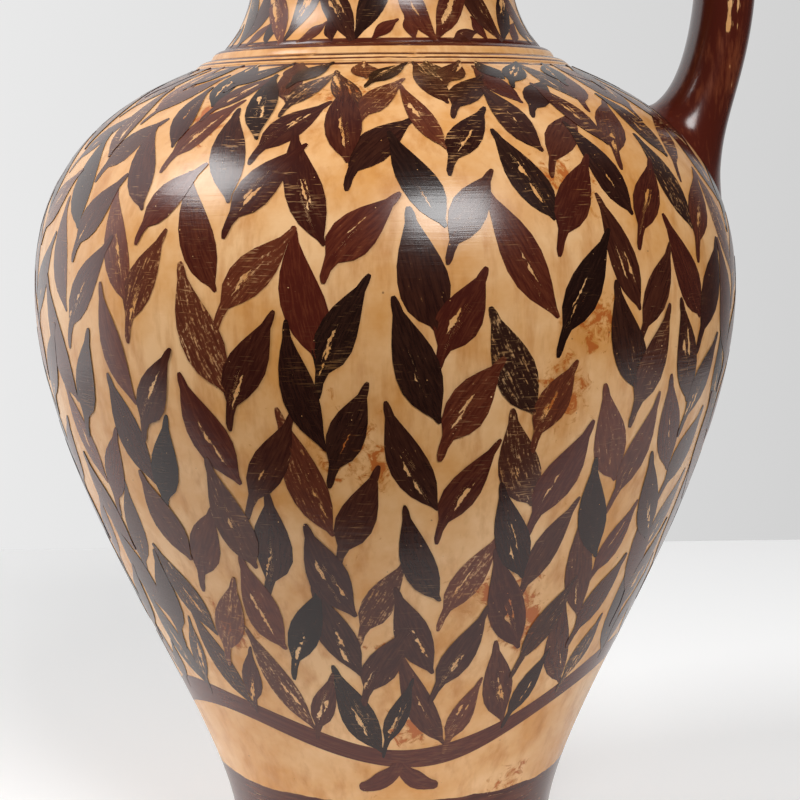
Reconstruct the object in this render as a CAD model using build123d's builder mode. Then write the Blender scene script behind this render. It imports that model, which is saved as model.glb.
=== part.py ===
from build123d import *
import os
from math import cos, pi, radians, sin, sqrt

# A one-handled wine jug of fired clay with a trefoil mouth, in millimetres, +Z up.
# The origin is the middle of the foot's resting face. The handle stands towards +X and the
# pouring lobe of the mouth towards -X. A height is a piece's own, and a level is counted from the ground.

# Foot, a splayed disc
foot_height = 12.0
foot_splay = 4.9            # edge beyond the body's waist
foot_edge = 4.0             # upright edge below the hollow flare
foot_round = 1.5

# Body, an ovoid shell from the waist on the foot to the flat seat round the throat
waist_radius = 46.5
body_radius = 100.0
body_height = 224.3         # waist to the seat
shoulder_height = 62.3      # its part above the widest level
shoulder_slope = 27.0       # degrees from level where the shoulder reaches the seat
waist_pull = 36.5           # reach of the four curve handles that set the fullness
lower_belly_pull = 58.0
upper_belly_pull = 46.9
shoulder_pull = 10.0
body_wall = 6.5

# Neck ring, a bead and a larger roll with a groove between them
ring_height = 5.2
ledge_width = 8.2           # seat beyond the neck's collar, which the ring covers
bead_width = 4.3            # part of the ledge up to the groove
bead_height = 2.3
bead_swell = 0.5
roll_swell = 0.7

# Neck and trefoil mouth
collar_radius = 45.0
neck_radius = 36.7          # at the narrowest level
neck_height = 60.5          # ring to the lip
mouth_height = 39.5         # its part above the narrowest level
mouth_radius = 46.0         # mean radius of the lip
lobe_depth = 8.0            # lobes stand out and pinches draw in by this much
neck_wall = 5.0
lip_round = 2.0             # rounds both edges of the lip, with a narrow flat between them
outline_points = 24         # points round each section of the neck, eight to a lobe

# Handle, an oval strap that spreads at both ends
handle_inset = 2.2          # strap's middle inside the belly's radius where it stands out most
handle_drop = 38.0          # that level below the lip
handle_width = 24.0
limb_depth = 17.0           # strap's depth on the upright limb
bow_depth = 14.5            # and over the top
root_width = 46.0
root_depth = 52.5
tip_width = 34.0
root_inset = 21.0           # root's middle inside the belly's radius
root_rise = 34.7            # root's middle above the body's widest level
root_lean = 47.0            # degrees from upright where the limb leaves the body
root_pull = 17.5            # reach of the two curve handles of the limb
limb_pull = 20.3
tip_inset = 12.0            # tip's middle inside the neck's narrowest radius
tip_drop = 27.0             # tip's middle below the lip
spread_power = 6.6          # how late the strap spreads towards its ends

# Thickness of the slip that lutes the ring and the handle in place
lute = 0.2

# Levels and radii that the pieces share
seat_level = foot_height + body_height
belly_level = seat_level - shoulder_height
collar_level = seat_level + ring_height
lip_level = collar_level + neck_height
narrow_level = lip_level - mouth_height
handle_level = lip_level - handle_drop
foot_radius = waist_radius + foot_splay
seat_radius = collar_radius + ledge_width
throat_radius = collar_radius - neck_wall
handle_reach = body_radius - handle_inset
ring_bore = collar_radius + lute


def neck_outline(level, inset):
    """Points of the neck's section at a level, drawn in from its outer face by an inset.

    Below and above the narrowest level the neck follows one round arc each. Above it the
    section turns from a circle into three lobes, with a pinch under the handle.
    """
    climb = level - narrow_level
    if climb < 0:
        rise = neck_height - mouth_height
        flare = collar_radius - neck_radius
        lobe = 0
    else:
        rise = mouth_height
        flare = mouth_radius - neck_radius
        lobe = lobe_depth * (climb / rise) ** 2
    bend = (rise**2 + flare**2) / (2 * flare)
    radius = neck_radius + bend - sqrt(bend**2 - climb**2) - inset
    angles = [2 * pi * step / outline_points for step in range(outline_points)]
    reaches = [radius - lobe * cos(3 * angle) for angle in angles]
    return [(reach * cos(angle), reach * sin(angle)) for reach, angle in zip(reaches, angles)]


def neck_section(level, inset):
    """Face of the neck's section at a level, drawn in from its outer face by an inset."""
    with BuildSketch(Plane.XY.offset(level)) as section:
        with BuildLine():
            Spline(neck_outline(level, inset), periodic=True)
        make_face()
    return section.sketch


def neck_solid(inset, turn):
    """Solid within the neck's outer face, drawn in by an inset, from the collar's foot to the lip.

    The lip's edge is rounded inwards with a turn of 1 and outwards with a turn of -1.
    """
    lip_angles = [pi / 2 * share for share in (0, 1 / 3, 2 / 3, 1)]
    wall = [(level, inset) for level in neck_stations]
    lip = [
        (lip_level - lip_round * (1 - sin(angle)), inset + turn * lip_round * (1 - cos(angle)))
        for angle in lip_angles
    ]
    with BuildPart() as solid:
        extrude(neck_section(collar_level, inset), amount=-ring_height)
        for stations in (wall, lip):
            for level, drawn_in in stations:
                add(neck_section(level, drawn_in))
            loft()
    return solid.part


# Levels at which the neck's sections are drawn, closer together where it bends more
neck_stations = [collar_level + (narrow_level - collar_level) * share for share in (0, 0.2, 0.45, 0.7)]
neck_stations += [narrow_level + (mouth_height - lip_round) * share for share in (0, 0.25, 0.5, 0.75, 1)]

# Foot: an upright edge, then a hollow flare that ends upright at the waist
with BuildPart() as foot:
    with BuildSketch(Plane.XZ):
        with BuildLine():
            Polyline((0, foot_height), (0, 0), (foot_radius, 0), (foot_radius, foot_edge))
            TangentArc((waist_radius, foot_height), (foot_radius, foot_edge), tangent=(0, -1))
            Line((waist_radius, foot_height), (0, foot_height))
        make_face()
    revolve(axis=Axis.Z)
    fillet(foot.edges().group_by(Axis.Z)[0], foot_round)

# Body: the filled form first, then the shell and its throat
with BuildPart() as body_form:
    with BuildSketch(Plane.XZ):
        with BuildLine():
            waist = (waist_radius, foot_height)
            belly = (body_radius, belly_level)
            seat = (seat_radius, seat_level)
            slope = radians(shoulder_slope)
            Bezier(
                waist,
                (waist_radius, foot_height + waist_pull),
                (body_radius, belly_level - lower_belly_pull),
                belly,
            )
            Bezier(
                belly,
                (body_radius, belly_level + upper_belly_pull),
                (seat_radius + shoulder_pull * cos(slope), seat_level - shoulder_pull * sin(slope)),
                seat,
            )
            Polyline(seat, (0, seat_level), (0, foot_height), waist)
        make_face()
    revolve(axis=Axis.Z)

with BuildPart() as body:
    add(body_form.part)
    offset(amount=-body_wall, openings=body.faces().sort_by(Axis.Z)[-1])
    with BuildSketch(Plane.XY.offset(seat_level)):
        Circle(throat_radius)
    extrude(amount=-2 * body_wall, mode=Mode.SUBTRACT)

# Neck ring: sits on the ledge of the seat, round the neck's collar
with BuildPart() as neck_ring:
    groove = (seat_radius - bead_width, seat_level + bead_height)
    with BuildSketch(Plane.XZ):
        with BuildLine():
            Line((ring_bore, seat_level), (seat_radius, seat_level))
            SagittaArc((seat_radius, seat_level), groove, -bead_swell)
            SagittaArc(groove, (ring_bore, collar_level), -roll_swell)
            Line((ring_bore, collar_level), (ring_bore, seat_level))
        make_face()
    revolve(axis=Axis.Z)

# Neck: the wall from collar to lip, on a straight collar that stands inside the ring
with BuildPart() as neck:
    add(neck_solid(0, 1))
    add(neck_solid(neck_wall, -1), mode=Mode.SUBTRACT)

# Handle: an oval carried up the limb and over the bow, then trimmed to the faces that it is luted to
with BuildLine(Plane.XZ) as handle_path:
    root = (body_radius - root_inset, belly_level + root_rise)
    lean = radians(root_lean)
    limb = Bezier(
        root,
        (root[0] + root_pull * sin(lean), root[1] + root_pull * cos(lean)),
        (handle_reach, handle_level - limb_pull),
        (handle_reach, handle_level),
    )
    tip = (neck_radius - tip_inset, lip_level - tip_drop)
    bow = TangentArc(limb @ 1, tip, tangent=(0, 1))

# The strap's middle line, its share of the way along and its width and depth there
handle_stations = []
for share in (0, 0.07, 0.15, 0.25, 0.4, 0.65, 1):
    ease = (1 - share) ** spread_power
    width = handle_width + (root_width - handle_width) * ease
    depth = limb_depth + (root_depth - limb_depth) * ease
    handle_stations.append((limb, share, width, depth))
for share in (0.3, 0.6, 0.8, 1):
    width = handle_width + (tip_width - handle_width) * share**spread_power
    handle_stations.append((bow, share, width, bow_depth))

# What the handle is luted to, filled and grown by the slip
with BuildPart() as handle_seat:
    add(body_form.part)
    offset(amount=lute)
    add(neck_solid(-lute, 1))

with BuildPart() as handle:
    for middle, share, width, depth in handle_stations:
        with BuildSketch(Plane(middle @ share, x_dir=(0, 1, 0), z_dir=middle % share)):
            Ellipse(width / 2, depth / 2)
    loft()
    add(handle_seat.part, mode=Mode.SUBTRACT)

os.makedirs("parts", exist_ok=True)
foot.part.label = "foot"
export_step(foot.part, "parts/foot.step")
body.part.label = "body"
export_step(body.part, "parts/body.step")
neck_ring.part.label = "neck_ring"
export_step(neck_ring.part, "parts/neck_ring.step")
neck.part.label = "neck"
export_step(neck.part, "parts/neck.step")
handle.part.label = "handle"
export_step(handle.part, "parts/handle.step")
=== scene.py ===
"""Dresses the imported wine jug: a thrown clay jug with a trefoil mouth, painted with slip leaves.

Sizes are in millimetres and turn into metres when a mesh is made. A turn is the angle round the
jug's axis from the front, -Y, towards the handle at +X. A climb is the way up along a wall's face.
"""

import logging
from dataclasses import dataclass, field
from enum import Enum
from functools import cached_property
from typing import Any, Callable, Sequence

import bpy
import numpy as np
from mathutils import Matrix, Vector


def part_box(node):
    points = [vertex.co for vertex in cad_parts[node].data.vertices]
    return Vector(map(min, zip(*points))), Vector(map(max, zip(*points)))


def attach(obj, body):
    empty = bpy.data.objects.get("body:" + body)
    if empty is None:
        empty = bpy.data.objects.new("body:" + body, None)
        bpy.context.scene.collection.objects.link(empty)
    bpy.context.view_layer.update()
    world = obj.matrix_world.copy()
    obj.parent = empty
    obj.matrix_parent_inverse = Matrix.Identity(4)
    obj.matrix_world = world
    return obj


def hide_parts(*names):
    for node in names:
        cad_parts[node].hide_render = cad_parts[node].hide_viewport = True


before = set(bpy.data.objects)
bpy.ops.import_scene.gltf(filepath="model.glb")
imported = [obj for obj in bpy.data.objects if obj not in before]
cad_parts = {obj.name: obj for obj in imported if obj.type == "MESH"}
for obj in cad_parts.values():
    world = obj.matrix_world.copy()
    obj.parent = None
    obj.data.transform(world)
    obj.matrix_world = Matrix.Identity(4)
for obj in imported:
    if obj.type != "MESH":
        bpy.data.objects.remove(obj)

KEEL_DEPTH = 0.5
MM = 0.001
ROOT_BODY = "root"
SEED = 7
VARNISH_IOR = 1.45
WHITE = (1.0, 1.0, 1.0, 1.0)
log = logging.getLogger("jug")

Array = np.ndarray
Leaves = dict[str, Array]
Material = bpy.types.Material
Piece = bpy.types.Object
Rng = np.random.Generator
Socket = bpy.types.NodeSocket
Tree = bpy.types.NodeTree
Triple = tuple[float, float, float]
Value = Socket | float
Surface = tuple[Socket, Value, Socket]


class Slot(Enum):
    """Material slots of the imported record."""

    PAINTED_CLAY = "painted_clay"
    SLIP_COAT = "slip_coat"


class Side(Enum):
    """The side of its stem on which a leaf is painted."""

    LEFT = -1
    RIGHT = 1


def top(node: str) -> float:
    """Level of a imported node's highest point, in millimetres."""
    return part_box(node)[1].z / MM


def reach(node: str) -> float:
    """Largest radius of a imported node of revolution, in millimetres."""
    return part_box(node)[1].y / MM


def linear(hex_colour: str) -> tuple[float, float, float, float]:
    """Turns an sRGB hex colour into linear red, green, blue and alpha.

    Args:
        hex_colour: The colour as "#rrggbb".

    Returns:
        The four linear values.
    """
    shown = np.array([int(hex_colour[i : i + 2], 16) / 255 for i in (1, 3, 5)])
    low, high = shown / 12.92, ((shown + 0.055) / 1.055) ** 2.4
    return (*np.where(shown <= 0.04045, low, high).tolist(), 1.0)


def scale_of(size: float) -> float:
    """Scale of a pattern whose features have a size in millimetres."""
    return 1 / (size * MM)


def add(tree: Tree, kind: str, inputs: Any = (), out: Any = 0, **settings: Any) -> Any:
    """Adds a node with its settings, and fills its inputs with constants or links.

    A MapRange takes its value, the two ends it comes from and the two it goes to. A Mix of colours
    takes its share and the colours at inputs 0, 6 and 7, and gives the mixed one at output 2.

    Args:
        tree: The node tree that takes the node.
        kind: The node's type name without its "ShaderNode" prefix.
        inputs: Constants or output sockets, in the inputs' order or by their names or numbers.
        out: Name or number of the output to return, or a list of them.
        **settings: Properties of the node.

    Returns:
        The output socket, or a list of them.
    """
    node = tree.nodes.new("ShaderNode" + kind)
    for name, value in settings.items():
        setattr(node, name, value)
    for key, value in inputs.items() if isinstance(inputs, dict) else enumerate(inputs):
        if isinstance(value, Socket):
            tree.links.new(value, node.inputs[key])
        else:
            node.inputs[key].default_value = value
    return [node.outputs[key] for key in out] if isinstance(out, list) else node.outputs[out]


def smooth_step(value: Array) -> Array:
    """Eases a share from 0 to 1 with level ends."""
    share = np.clip(value, 0, 1)
    return share * share * (3 - 2 * share)


def cubic(start: Array, pull: Array, push: Array, end: Array, share: Array) -> Array:
    """Points of a cubic Bezier curve at shares of its way.

    Args:
        start: First point.
        pull: Handle that the curve leaves towards.
        push: Handle that the curve arrives from.
        end: Last point.
        share: Shares of the way, 0 to 1.

    Returns:
        One point per share.
    """
    t = share[:, None]
    s = 1 - t
    return s**3 * start + 3 * s * s * t * pull + 3 * s * t * t * push + t**3 * end


def circle(columns: int) -> Array:
    """Evenly spaced turns, once round."""
    return np.linspace(0, 2 * np.pi, columns, endpoint=False)


def spun(turn: Array, radius: Array, level: Array) -> Array:
    """Points at turns round the jug's axis, radii from it and levels."""
    return np.stack(np.broadcast_arrays(radius * np.sin(turn), -radius * np.cos(turn), level), -1)


def grid_faces(rows: int, columns: int, wrap_rows: bool = False) -> Array:
    """Quads of a grid of points numbered row by row, whose last column joins the first.

    Args:
        rows: Rows of points.
        columns: Points in each row.
        wrap_rows: Whether the last row joins the first one too.

    Returns:
        Four point numbers per quad, turned outwards where rows climb and columns go to the right.
    """
    row = np.arange(rows if wrap_rows else rows - 1)[:, None]
    column = np.arange(columns)[None, :]
    below, above = row * columns, (row + 1) % rows * columns
    beside = (column + 1) % columns
    return np.stack([below + column, below + beside, above + beside, above + column], -1).reshape(-1, 4)


def capped(points: Array) -> tuple[Array, list[list[int]]]:
    """Closes a tube at both ends with a fan of triangles to the middle of its last row.

    Args:
        points: Three coordinates per point, as rows by columns.

    Returns:
        The points with both middles, and the point numbers of each face.
    """
    rows, columns = points.shape[:2]
    column = np.arange(columns)
    beside = (column + 1) % columns
    count, end = rows * columns, (rows - 1) * columns
    start_fan = np.stack([np.full(columns, count), beside, column], -1)
    end_fan = np.stack([np.full(columns, count + 1), end + column, end + beside], -1)
    faces = grid_faces(rows, columns).tolist() + start_fan.tolist() + end_fan.tolist()
    return np.vstack([points.reshape(-1, 3), points[[0, -1]].mean(1)]), faces


def make_piece(name: str, points: Array, faces: list[list[int]]) -> Piece:
    """Makes a smooth mesh object at the origin from points in millimetres.

    Args:
        name: The piece's name.
        points: Three coordinates per point, in any array shape.
        faces: Point numbers of each face.

    Returns:
        The new object, which rides on the jug's one body.
    """
    mesh = bpy.data.meshes.new(name)
    mesh.from_pydata((points.reshape(-1, 3) * MM).tolist(), [], faces)
    mesh.polygons.foreach_set("use_smooth", np.ones(len(mesh.polygons), bool))
    mesh.update()
    piece = bpy.data.objects.new(name, mesh)
    bpy.context.scene.collection.objects.link(piece)
    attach(piece, ROOT_BODY)
    log.info("%s: %d faces", name, len(mesh.polygons))
    return piece


def revolved(name: str, profile: Array, columns: int, closed: bool) -> Piece:
    """Makes a piece by turning a profile about the jug's axis.

    Each profile point (radius, level) becomes a circle. A closed profile is a ring; an open one
    starts and ends with a fan to the axis.

    Args:
        name: The piece's name.
        profile: Radius and level of each point, up the outside and down the inside.
        columns: Points round each circle.
        closed: Whether the profile's end joins its start.

    Returns:
        The new object.
    """
    points = spun(circle(columns), profile[:, :1], profile[:, 1:])
    if closed:
        return make_piece(name, points, grid_faces(len(profile), columns, True).tolist())
    return make_piece(name, *capped(points))


def dress(piece: Piece, slot: Slot, *materials: Material) -> None:
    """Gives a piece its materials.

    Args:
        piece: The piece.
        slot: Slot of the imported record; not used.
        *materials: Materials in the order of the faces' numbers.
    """
    for material in materials:
        piece.data.materials.append(material)


@dataclass(frozen=True)
class Spot:
    """A round place on the jug: its middle and how far it reaches, in millimetres."""

    middle: Triple
    reach: float


def nearness(tree: Tree, spots: Sequence[Spot], height: float) -> Value:
    """Adds the nodes that raise a value round each spot.

    Args:
        tree: The material's node tree.
        spots: The spots.
        height: The value at the middle of a spot.

    Returns:
        0 away from the spots, rising smoothly to the height at the middle of each.
    """
    place = add(tree, "TexCoord", out="Object")
    total: Value = 0.0
    for spot in spots:
        middle = [value * MM for value in spot.middle]
        away = add(tree, "VectorMath", [place, middle], out="Value", operation="DISTANCE")
        ends = [0.0, spot.reach * MM, height, 0.0]
        near = add(tree, "MapRange", [away, *ends], interpolation_type="SMOOTHSTEP")
        total = add(tree, "Math", [near, total], operation="ADD")
    return total


def mottle(
    tree: Tree, size: float, detail: float, roughness: float = 0.5, stretch: Triple = (1, 1, 1),
    bend: float = 0.0,
) -> Socket:
    """Adds clouds in the clay or the slip, which may be drawn out round the jug or up it.

    Args:
        tree: The material's node tree.
        size: Size of a cloud in millimetres.
        detail: Number of finer layers.
        roughness: How strongly the finer layers show.
        stretch: Factors on x, y and z, where a small one draws the clouds out.
        bend: How far the clouds are distorted.

    Returns:
        Noise about 0.5.
    """
    place = add(tree, "TexCoord", out="Object")
    drawn = add(tree, "Mapping", {"Vector": place, "Scale": stretch})
    return add(tree, "TexNoise", {"Vector": drawn, "Scale": scale_of(size), "Detail": detail,
                                  "Roughness": roughness, "Distortion": bend})


def specks(tree: Tree, spacing: float, least: float, largest: float, edge: float) -> Socket:
    """Adds small round specks of many sizes, one at most in each cell of a loose grid.

    Args:
        tree: The material's node tree.
        spacing: Width of a cell in millimetres.
        least: Chance up to which a cell stays empty.
        largest: Largest radius of a speck over the cell's width.
        edge: Width of a speck's soft edge over the cell's width.

    Returns:
        1 in the specks and 0 between them.
    """
    cell = {"Vector": add(tree, "TexCoord", out="Object"), "Scale": scale_of(spacing)}
    away, chance = add(tree, "TexVoronoi", cell, out=["Distance", "Color"])
    size = add(tree, "MapRange", [chance, least, 1.0, 0.0, largest])
    depth = add(tree, "Math", [size, away], operation="SUBTRACT")
    return add(tree, "MapRange", [depth, 0.0, edge])


@dataclass(frozen=True)
class Stain:
    """A place where iron in the clay has burnt orange in the kiln: turn in degrees, climb and size."""

    turn: float
    climb: float
    size: float


@dataclass(frozen=True)
class Band:
    """A stripe of slip that was brushed on while the jug turned on the wheel."""

    low: float
    high: float
    wobble: float

    def above(self, level: float) -> "Band":
        """The same stripe, counted from a level."""
        return Band(level + self.low, level + self.high, self.wobble)


@dataclass(frozen=True)
class BuffClay:
    """Buff earthenware, thrown on the wheel, burnished and sealed with a thin clear coat.

    It gives the eye a warm honey ground with ochre clouds, burnt orange stains and dark grit,
    and fine rings of throwing lines that break up the satin highlights.
    """

    pale: str = "#f1c08a"
    honey: str = "#dc9c57"
    ochre: str = "#bd7428"
    burnt: str = "#b4551c"
    grit: str = "#4a2a18"
    cloud_size: float = 26.0
    drip_width: float = 5.0
    drip_stretch: Triple = (1, 1, 0.22)
    stain_grain: float = 3.8
    stain_spread: float = 1.3
    stain_height: float = 0.27
    grit_spacing: float = 5.5
    grit_size: float = 0.075
    grit_edge: float = 0.02
    throwing_pitch: float = 0.9
    throwing_stretch: Triple = (0.05, 0.05, 1)
    throwing_depth: float = 0.055
    roughness: float = 0.27
    bare_roughness: float = 0.6
    stains: tuple[Stain, ...] = (
        Stain(-4.5, 139, 15), Stain(28.5, 205, 13), Stain(31, 170, 12), Stain(26, 152, 12), Stain(22, 94, 14),
        Stain(30, 82, 12), Stain(5, 52, 12), Stain(-8, 236, 12), Stain(-35, 226, 12), Stain(-33, 84, 11),
        Stain(1.5, 77, 9), Stain(130, 150, 15), Stain(-126, 120, 14), Stain(195, 190, 13),
        Stain(-86, 165, 12), Stain(97, 95, 13), Stain(38, 28, 9), Stain(-8, 22, 8),
    )

    def colour(self, tree: Tree) -> Socket:
        """Adds the nodes of the clay's colour: clouds, drips, stains and grit over the pale ground.

        Args:
            tree: The material's node tree.

        Returns:
            The colour.
        """
        cloud = mottle(tree, self.cloud_size, 5, 0.62)
        drip = mottle(tree, self.drip_width, 4, 0.6, self.drip_stretch)
        patch = mottle(tree, self.stain_grain, 7, 0.68, bend=0.6)
        places = [body_wall.place(np.radians(stain.turn), np.array(stain.climb)) for stain in self.stains]
        spots = [
            Spot(tuple(place), self.stain_spread * stain.size) for place, stain in zip(places, self.stains)
        ]
        stain = add(tree, "Math", [patch, nearness(tree, spots, self.stain_height)], operation="ADD")
        grit = specks(tree, self.grit_spacing, 0.0, self.grit_size, self.grit_edge)
        # Each pattern, where its colour starts, where it is full, and how strong it is then
        layers = (
            (cloud, 0.38, 0.64, 1.0, self.honey),
            (drip, 0.48, 0.74, 0.65, self.ochre),
            (stain, 0.66, 0.74, 0.7, self.ochre),
            (stain, 0.745, 0.765, 0.75, self.burnt),
            (grit, 0.0, 1.0, 0.6, self.grit),
        )
        ground: Any = linear(self.pale)
        for pattern, start, full, strength, tint in layers:
            share = add(tree, "MapRange", [pattern, start, full, 0.0, strength])
            ground = add(tree, "Mix", {0: share, 6: ground, 7: linear(tint)}, out=2, data_type="RGBA")
        return ground

    def relief(self, tree: Tree) -> Socket:
        """Adds the nodes of the throwing lines and gives the bumped normal."""
        rings = mottle(tree, self.throwing_pitch, 3, 0.7, self.throwing_stretch)
        return add(tree, "Bump", {"Height": rings, "Strength": 0.7, "Distance": self.throwing_depth * MM})


@dataclass(frozen=True)
class BrushedSlip:
    """Iron-rich slip, brushed on and burnished, under the same thin clear coat.

    Thick strokes are nearly black, thin ones red-brown with streaks along the brush's way, and the
    slip has pinholes, bare slits and rubbed lines that show the clay.
    """

    black: str = "#1f0c07"
    brown: str = "#501c11"
    thin_black: str = "#3d2217"
    thin_brown: str = "#7d3f25"
    streak_width: float = 0.6
    streak_length: float = 5.0
    streak_spacing: float = 700.0
    grain_size: float = 0.8
    grain_share: float = 0.6
    dry_thin: float = 0.4
    dry_wear: float = 0.32
    dry_rub: float = 0.5
    wear: float = 0.8
    thin_edge: tuple[float, float] = (0.5, 1.0)
    worn_edge: tuple[float, float] = (1.14, 1.34)
    pinhole_spacing: float = 1.7
    pinhole_chance: float = 0.45
    pinhole_size: float = 0.13
    pinhole_edge: float = 0.025
    scratch_pitch: float = 0.3
    scratch_stretch: Triple = (0.06, 0.06, 1)
    scratch_patch: float = 17.0
    scratch_edge: tuple[float, float] = (0.93, 1.03)
    scratch_share: float = 0.55
    shoulder_rub: tuple[float, ...] = (190.0, 218.0, 222.0, 233.0)
    shoulder_share: float = 0.7
    slit_aside: tuple[float, float] = (-1.2, 1.2)
    slit_middle: tuple[float, float] = (8.0, 17.0)
    slit_half: tuple[float, float] = (2.2, 5.5)
    slit_spacing: tuple[float, float] = (91.7, 3.3)
    slit_scale: float = 0.45
    slit_uneven: float = 1.35
    slit_wander: float = 1.2
    slit_rag_scale: float = 1.5
    slit_rags: tuple[float, float] = (0.15, 1.3)
    slit_edge: float = 0.1
    slit_least: tuple[float, float] = (0.05, 0.35)
    band_tone: float = 0.75
    band_streak: float = 1.1
    band_stretch: Triple = (0.08, 0.08, 1)
    band_edge: float = 0.06
    band_thin_edge: tuple[float, float] = (0.42, 0.75)
    band_thin: float = 0.8
    waver_size: float = 14.0
    waver_reach: float = 4.0
    coat_streak: float = 1.3
    coat_stretch: Triple = (1, 1, 0.14)
    coat_cloud: float = 15.0
    coat_cloud_share: float = 0.7
    coat_relief: float = 0.03
    coat_thin_edge: tuple[float, float] = (0.92, 1.25)
    coat_worn_edge: tuple[float, float] = (1.24, 1.29)
    thin_height: float = 0.24
    worn_height: float = 0.5
    roughness: float = 0.21
    coat_roughness: tuple[float, float] = (0.20, 0.28)
    thin_places: tuple[Spot, ...] = (Spot((95.0, -10.0, 233.0), 17.0), Spot((100.0, 10.0, 262.0), 18.0))
    worn_places: tuple[Spot, ...] = (Spot((97.5, -10.5, 252.5), 5.5), Spot((97.0, -10.5, 247.0), 5.0))

    def tint(self, tree: Tree, tone: Value, thin: Socket) -> Socket:
        """Adds the nodes of the slip's colour.

        Args:
            tree: The material's node tree.
            tone: 0 for black to 1 for red-brown.
            thin: How thinly the slip lies, 0 to 1.

        Returns:
            The colour.
        """
        deep, pale = (
            add(tree, "Mix", {0: tone, 6: linear(black), 7: linear(brown)}, out=2, data_type="RGBA")
            for black, brown in ((self.black, self.brown), (self.thin_black, self.thin_brown))
        )
        return add(tree, "Mix", {0: thin, 6: deep, 7: pale}, out=2, data_type="RGBA")

    def rubbed(self, tree: Tree) -> Socket:
        """Adds the nodes of lines rubbed level round the jug, in patches.

        Args:
            tree: The material's node tree.

        Returns:
            1 in the lines and 0 between them.
        """
        line = mottle(tree, self.scratch_pitch, 2, 0.6, self.scratch_stretch)
        patch = mottle(tree, self.scratch_patch, 2)
        both = add(tree, "Math", [patch, self.scratch_share, line], operation="MULTIPLY_ADD")
        return add(tree, "MapRange", [both, *self.scratch_edge])

    def pinholes(self, tree: Tree) -> Socket:
        """Adds the pinholes in the slip, 1 in them and 0 between them."""
        return specks(tree, self.pinhole_spacing, self.pinhole_chance, self.pinhole_size, self.pinhole_edge)

    def rub(self, tree: Tree, dry: Socket) -> Socket:
        """Adds the nodes of rubbed lines on dry strokes and on the shoulder.

        Args:
            tree: The material's node tree.
            dry: How dry the stroke is, 0 to 1.

        Returns:
            1 where the slip is rubbed off and 0 where it is whole.
        """
        level = add(tree, "SeparateXYZ", [add(tree, "TexCoord", out="Object")], out="Z")
        start, full, fade, end = (value * MM for value in self.shoulder_rub)
        rising = add(tree, "MapRange", [level, start, full, 0.0, self.shoulder_share])
        falling = add(tree, "MapRange", [level, fade, end, 1.0, 0.0])
        shoulder = add(tree, "Math", [rising, falling], operation="MULTIPLY")
        rub = add(tree, "Math", [dry, self.dry_rub], operation="MULTIPLY")
        rub = add(tree, "Math", [rub, shoulder], operation="MAXIMUM")
        return add(tree, "Math", [self.rubbed(tree), rub], operation="MULTIPLY")

    def streaks(self, tree: Tree, across: Socket, along: Socket, seed: Socket) -> Socket:
        """Adds the nodes of the brush's streaks, long ways along a stroke.

        Args:
            tree: The material's node tree.
            across: Place across the stroke in millimetres.
            along: Place along the stroke in millimetres.
            seed: The stroke's own number.

        Returns:
            Noise about 0.5.
        """
        factors = ((across, 1 / self.streak_width), (along, 1 / self.streak_length),
                   (seed, self.streak_spacing))
        parts = [add(tree, "Math", [value, factor], operation="MULTIPLY") for value, factor in factors]
        at = add(tree, "CombineXYZ", parts)
        return add(tree, "TexNoise", {"Vector": at, "Scale": 1.0, "Detail": 4, "Roughness": 0.62})

    def bare_slit(
        self, tree: Tree, across: Socket, along: Socket, slit: Socket, seed: Socket, order: int
    ) -> Socket:
        """Adds the nodes of a bare slit that two passes of the brush leave between them.

        It is a lens along the stroke, with one clean edge and one ragged edge. Its place and
        length come from the stroke's own number.

        Args:
            tree: The material's node tree.
            across: Place across the stroke in millimetres.
            along: Place along the stroke in millimetres.
            slit: The slit's half width in millimetres.
            seed: The stroke's own number.
            order: Number of the slit on the stroke.

        Returns:
            1 in the slit and 0 outside it.
        """
        apart, beside = self.slit_spacing
        number = add(tree, "Math", [seed, apart, order * beside], operation="MULTIPLY_ADD")
        chance = add(tree, "TexWhiteNoise", {"W": number}, out="Color", noise_dimensions="1D")
        chances = add(tree, "SeparateColor", [chance], out=[0, 1, 2])
        ranges = (self.slit_aside, self.slit_middle, self.slit_half)
        aside, middle, half = (
            add(tree, "MapRange", [value, 0.0, 1.0, *ends]) for value, ends in zip(chances, ranges)
        )
        # The lens: 1 less the square of the way from its middle over its half length
        ahead = add(tree, "Math", [along, middle], operation="SUBTRACT")
        share = add(tree, "Math", [ahead, half], operation="DIVIDE")
        square = add(tree, "Math", [share, share], operation="MULTIPLY")
        room = add(tree, "Math", [1.0, square], operation="SUBTRACT")
        at = add(tree, "CombineXYZ", [across, along, number])
        slow = add(tree, "TexNoise", {"Vector": at, "Scale": self.slit_scale, "Detail": 1})
        uneven = add(tree, "MapRange", [slow, 0.35, 0.65, 0.0, self.slit_uneven])
        wide = add(tree, "Math", [room, slit], operation="MULTIPLY")
        wide = add(tree, "Math", [wide, uneven], operation="MULTIPLY")
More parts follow.
